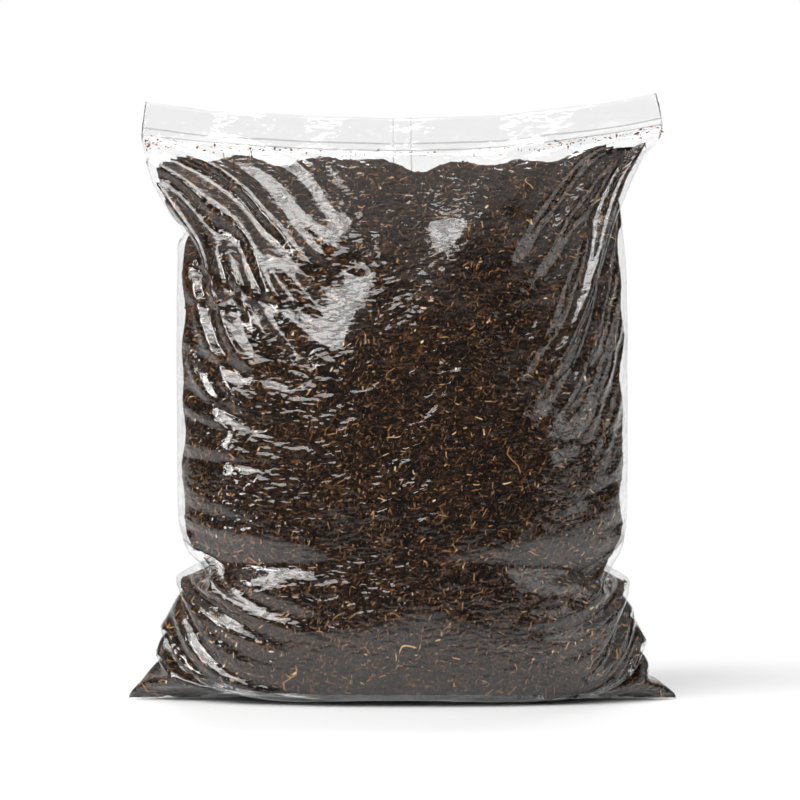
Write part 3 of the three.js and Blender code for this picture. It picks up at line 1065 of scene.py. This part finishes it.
# strews shapes over a surface, each turned, sized and shaded by chance
def strewTree():
    tree = bpy.data.node_groups.new("strew", "GeometryNodeTree")
    sockets = {"Geometry": "Geometry", "Shapes": "Collection", "Per Square Metre": "Float",
               "Smallest": "Float", "Largest": "Float", "Tilt": "Float", "Sink": "Float", "Seed": "Int",
               "Material": "Material"}
    for name, kind in sockets.items():
        tree.interface.new_socket(name, in_out="INPUT", socket_type="NodeSocket" + kind)
    tree.interface.new_socket("Geometry", in_out="OUTPUT", socket_type="NodeSocketGeometry")
    given = addNode(tree, "NodeGroupInput").outputs
    shown = addNode(tree, "GeometryNodeInputNamedAttribute", {"data_type": "FLOAT", "Name": "shown"})
    density = addNode(tree, "ShaderNodeMath", {"operation": "MULTIPLY"},
                      {0: given["Per Square Metre"], 1: shown.outputs["Attribute"]})
    places = addNode(tree, "GeometryNodeDistributePointsOnFaces", {},
                     {"Mesh": given["Geometry"], "Density": density.outputs[0], "Seed": given["Seed"]})
    lean = addNode(tree, "ShaderNodeMath", {"operation": "MULTIPLY", 1: -1.0}, {0: given["Tilt"]})
    # most lie on a slant, as they slid when the bag was filled
    least = addNode(tree, "ShaderNodeCombineXYZ", {2: -0.6}, {0: lean.outputs[0], 1: lean.outputs[0]})
    most = addNode(tree, "ShaderNodeCombineXYZ", {2: 1.9}, {0: given["Tilt"], 1: given["Tilt"]})
    turn = addNode(tree, "FunctionNodeRandomValue", {"data_type": "FLOAT_VECTOR"},
                   {0: least.outputs[0], 1: most.outputs[0], "Seed": given["Seed"]})
    spin = addNode(tree, "FunctionNodeEulerToRotation", {}, {0: turn.outputs[0]})
    turned = addNode(tree, "FunctionNodeRotateRotation", {"rotation_space": "LOCAL"},
                     {0: places.outputs["Rotation"], 1: spin.outputs[0]})
    chance = addNode(tree, "FunctionNodeRandomValue", {"data_type": "FLOAT", 2: 0.0, 3: 1.0, "Seed": 5})
    fewLarge = addNode(tree, "ShaderNodeMath", {"operation": "POWER", 1: 2.2}, {0: chance.outputs[1]})
    size = addNode(tree, "ShaderNodeMapRange", {},
                   {"Value": fewLarge.outputs[0], "To Min": given["Smallest"], "To Max": given["Largest"]})
    stretch = addNode(tree, "FunctionNodeRandomValue",
                      {"data_type": "FLOAT_VECTOR", 0: (0.75, 0.7, 0.7), 1: (1.3, 1.2, 1.2), "Seed": 6})
    scale = addNode(tree, "ShaderNodeVectorMath", {"operation": "SCALE"},
                    {0: stretch.outputs[0], "Scale": size.outputs["Result"]})
    shapes = addNode(tree, "GeometryNodeCollectionInfo",
                     {"Separate Children": True, "Reset Children": True}, {"Collection": given["Shapes"]})
    which = addNode(tree, "FunctionNodeRandomValue", {"data_type": "INT", 4: 0, 5: 99, "Seed": 7})
    laid = addNode(tree, "GeometryNodeInstanceOnPoints", {"Pick Instance": True},
                   {"Points": places.outputs["Points"], "Instance": shapes.outputs[0],
                    "Instance Index": which.outputs[2], "Rotation": turned.outputs[0],
                    "Scale": scale.outputs[0]})
    deeper = addNode(tree, "ShaderNodeMath", {"operation": "MULTIPLY", 1: -1.0}, {0: given["Sink"]})
    drop = addNode(tree, "ShaderNodeCombineXYZ", {}, {2: deeper.outputs[0]})
    sunk = addNode(tree, "GeometryNodeTranslateInstances", {"Local Space": True},
                   {"Instances": laid.outputs[0], "Translation": drop.outputs[0]})
    shade = addNode(tree, "FunctionNodeRandomValue", {"data_type": "FLOAT", 2: 0.0, 3: 1.0, "Seed": 8})
    shaded = addNode(tree, "GeometryNodeStoreNamedAttribute",
                     {"data_type": "FLOAT", "domain": "INSTANCE", "Name": "tint"},
                     {"Geometry": sunk.outputs[0], "Value": shade.outputs[1]})
    real = addNode(tree, "GeometryNodeRealizeInstances", {}, {0: shaded.outputs[0]})
    painted = addNode(tree, "GeometryNodeSetMaterial", {},
                      {"Geometry": real.outputs[0], "Material": given["Material"]})
    addNode(tree, "NodeGroupOutput", {}, {"Geometry": painted.outputs[0]})
    return tree


# makes a plain mesh of what the tree strews over a surface
def strew(name, surface, tree, values):
    carrier = bpy.data.objects.new(name + "Carrier", surface)
    scene.collection.objects.link(carrier)
    modifier = carrier.modifiers.new("strew", "NODES")
    modifier.node_group = tree
    for socket in tree.interface.items_tree:
        if socket.in_out == "INPUT" and socket.name in values:
            modifier[socket.identifier] = values[socket.name]
    graph = bpy.context.evaluated_depsgraph_get()
    mesh = bpy.data.meshes.new_from_object(carrier.evaluated_get(graph), depsgraph=graph)
    mesh.name = name
    carrier.modifiers.remove(modifier)
    bpy.data.objects.remove(carrier)
    piece = bpy.data.objects.new(name, mesh)
    scene.collection.objects.link(piece)
    triangles = sum(len(p.vertices) - 2 for p in mesh.polygons)
    print("strewn:", name, triangles, "triangles", [m and m.name for m in mesh.materials])
    return piece


filmTree = BVHTree.FromPolygons((filmPoints.reshape(-1, 3) * mm).tolist(), gridFaces(*filmPoints.shape[:2]))


# pushes what would poke through the film back inside it
def keepInside(piece):
    clearance = heap["clearance"] * mm
    moved = 0
    for v in piece.data.vertices:
        place, normal, index, gap = filmTree.find_nearest(v.co, heap["reach"] * mm)
        if place is not None and (v.co - place).dot(normal) > -clearance:
            v.co = place - clearance * normal
            moved += 1
    print("kept inside:", piece.name, moved, "points moved")


# what is strewn: the names with capitals are the tree's inputs
crumbs = {
    "shape": crumbShape,
    "kinds": 6,
    "shapeSeed": 1,
    "material": "humusCrumbs",
    "stops": [(0.0, "#150d08"), (0.5, "#352213"), (0.8, "#583b22"), (0.95, "#845a33"), (1.0, "#ad7e50")],
    "roughness": 0.8,
    "Per Square Metre": 100000.0,
    "Smallest": 1.4 * mm,
    "Largest": 3.6 * mm,
    "Tilt": 0.4,
    "Sink": 0.2 * mm,
    "Seed": 11,
}
bark = {
    "shape": chipShape,
    "kinds": 8,
    "shapeSeed": 2,
    "material": "barkChips",
    "stops": [(0.0, "#1c110a"), (0.5, "#472d19"), (0.8, "#724b2b"), (0.94, "#a0703f"), (0.98, "#d3a469"),
              (1.0, "#f3e0ba")],
    "roughness": 0.7,
    "Per Square Metre": 67000.0,
    "Smallest": 1.2 * mm,
    "Largest": 3.4 * mm,
    "Tilt": 0.3,
    "Sink": 0.0,
    "Seed": 12,
}
fibres = {
    "shape": fibreShape,
    "kinds": 8,
    "shapeSeed": 3,
    "material": "rootFibres",
    "stops": [(0.0, "#20140c"), (0.5, "#53371f"), (0.85, "#845934"), (0.97, "#bd8853"), (1.0, "#eaca96")],
    "roughness": 0.6,
    "Per Square Metre": 67000.0,
    "Smallest": 2.2 * mm,
    "Largest": 7.5 * mm,
    "Tilt": 0.15,
    "Sink": 0.0,
    "Seed": 13,
}
straws = {
    "shape": strawShape,
    "kinds": 5,
    "shapeSeed": 5,
    "material": "paleStraw",
    "stops": [(0.0, "#7a5634"), (0.6, "#a97a48"), (1.0, "#e2bd80")],
    "roughness": 0.6,
    "Per Square Metre": 260.0,
    "Smallest": 10.0 * mm,
    "Largest": 28.0 * mm,
    "Tilt": 0.05,
    "Sink": 0.0,
    "Seed": 15,
}
caught = {
    "shape": crumbShape,
    "kinds": 4,
    "shapeSeed": 4,
    "material": "rustyCrumbs",
    "stops": [(0.0, "#4a2614"), (0.5, "#75391b"), (0.9, "#985426"), (1.0, "#b8773c")],
    "roughness": 0.8,
    "Per Square Metre": 90000.0,
    "Smallest": 1.5 * mm,
    "Largest": 3.8 * mm,
    "Tilt": 0.1,
    "Sink": 0.0,
    "Seed": 14,
    "band": (421.0, 433.0),      # up the flat film, to the weld
    "inMiddle": 0.7,
    "atEnds": 0.6,
}


# the strip between the plies where crumbs were caught as the bag was welded, more of them towards its ends
def weldBand():
    rowStep = film["seamToWeld"] / weldRow
    first, last = (round(level / rowStep) for level in caught["band"])
    half = filmPoints.shape[1] // 2
    middle = (filmPoints + otherPly(filmPoints))[first:last + 1, :half + 1] / 2
    mesh = bpy.data.meshes.new("weldBand")
    mesh.from_pydata((middle.reshape(-1, 3) * mm).tolist(), [], gridFaces(*middle.shape[:2], closed=False))
    shown = mesh.attributes.new("shown", "FLOAT", "POINT")
    aside = np.abs(middle[..., 0].ravel() / film["tubeWidth"] * 2)
    shown.data.foreach_set("value", caught["inMiddle"] + caught["atEnds"] * aside ** 4)
    return mesh


def strewPiece(name, surface, tree, look):
    material = woodyBits(look["material"], look["stops"], look["roughness"])
    shapes = shapeSet(look["material"], look["shape"], look["kinds"], look["shapeSeed"], material)
    return strew(name, surface, tree, {**look, "Shapes": shapes, "Material": material})


compostHeap = makeHeap(dampPeat())
print("heap:", len(compostHeap.data.polygons), "faces")
strewer = strewTree()
crumbPiece = strewPiece("compost_crumbs", compostHeap.data, strewer, crumbs)
barkPiece = strewPiece("bark_chips", compostHeap.data, strewer, bark)
fibrePiece = strewPiece("root_fibres", compostHeap.data, strewer, fibres)
strawPiece = strewPiece("pale_straws", compostHeap.data, strewer, straws)
caughtPiece = strewPiece("caught_crumbs", weldBand(), strewer, caught)
for piece in (compostHeap, crumbPiece, barkPiece, fibrePiece, strawPiece):
    keepInside(piece)

# Hand the pieces to the frame

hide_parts("film_bag")
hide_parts("compost_fill")
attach(bagFilm, "root")
for piece in (compostHeap, crumbPiece, barkPiece, fibrePiece, strawPiece, caughtPiece):
    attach(piece, "root")
